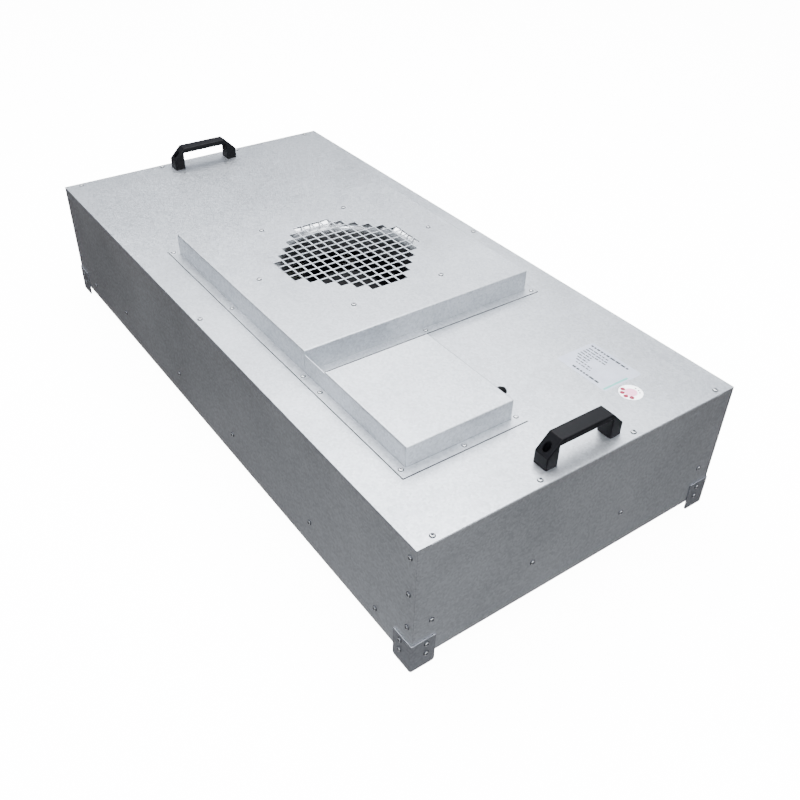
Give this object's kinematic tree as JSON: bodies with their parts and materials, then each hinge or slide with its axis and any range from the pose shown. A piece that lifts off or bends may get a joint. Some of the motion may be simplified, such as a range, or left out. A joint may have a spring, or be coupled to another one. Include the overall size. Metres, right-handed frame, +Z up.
{
  "type": "fan filter unit",
  "caption": "Low galvanised steel box that draws air through a square-holed cowl with a centrifugal fan and pushes it down through a pleated filter.",
  "frame": {"origin": "middle of the footprint, at the feet of the corner brackets", "axes": "+X along the long side, towards the wiring cover; +Y along the short side; +Z up, towards the air inlet"},
  "size_m": [1.1834, 0.5834, 0.2695],
  "materials": {
    "galvanised_sheet": "galvanised sheet with a fine spangle",
    "spun_sheet": "bright spun galvanised sheet",
    "zinc_fasteners": "bright zinc plate",
    "black_plastic": "moulded black nylon",
    "motor_black": "black dip coat",
    "motor_aluminium": "die-cast aluminium",
    "impeller_sheet": "black paint on sheet steel",
    "filter_frame_aluminium": "anodised aluminium",
    "filter_media": "white glass-fibre paper",
    "gasket_foam": "closed-cell gasket",
    "grommet_rubber": "soft rubber",
    "lead_pvc": "pale PVC jacket",
    "terminal_plastic": "moulded polyamide",
    "capacitor_plastic": "moulded can"
  },
  "bodies": {
    "casing": {"top_panel": "galvanised_sheet", "front_wall": "galvanised_sheet", "back_wall": "galvanised_sheet", "right_wall": "galvanised_sheet", "left_wall": "galvanised_sheet", "corner_bracket_front_right": "galvanised_sheet", "corner_bracket_front_left": "galvanised_sheet", "corner_bracket_back_right": "galvanised_sheet", "corner_bracket_back_left": "galvanised_sheet", "inlet_cowl": "galvanised_sheet", "inlet_nozzle": "spun_sheet", "motor_stator": "motor_aluminium", "motor_bridge": "galvanised_sheet", "seat_rail_front": "galvanised_sheet", "seat_rail_back": "galvanised_sheet", "seat_rail_right": "galvanised_sheet", "seat_rail_left": "galvanised_sheet", "filter_gasket": "gasket_foam", "filter_frame": "filter_frame_aluminium", "filter_media": "filter_media", "filter_clips": "galvanised_sheet", "handle_right": "black_plastic", "handle_left": "black_plastic", "handle_bolts": "zinc_fasteners", "wiring_cover": "galvanised_sheet", "cable_gland": "black_plastic", "wire_grommet": "grommet_rubber", "run_capacitor": "capacitor_plastic", "terminal_block": "terminal_plastic", "motor_lead": "lead_pvc", "top_screws": "zinc_fasteners", "wall_screws": "zinc_fasteners", "bracket_screws": "zinc_fasteners", "cowl_rivets": "zinc_fasteners", "cover_rivets": "zinc_fasteners", "nozzle_screws": "zinc_fasteners", "motor_screws": "zinc_fasteners", "bridge_screws": "zinc_fasteners"},
    "fan_rotor": {"impeller": "impeller_sheet", "motor_rotor": "motor_black", "rotor_rivets": "zinc_fasteners"}
  },
  "joints": [
    {"name": "fan_spin", "type": "hinge", "parent": "casing", "child": "fan_rotor", "pos_m": [0, 0, 0.126], "axis": [0, 0, 1], "continuous": true}
  ]
}
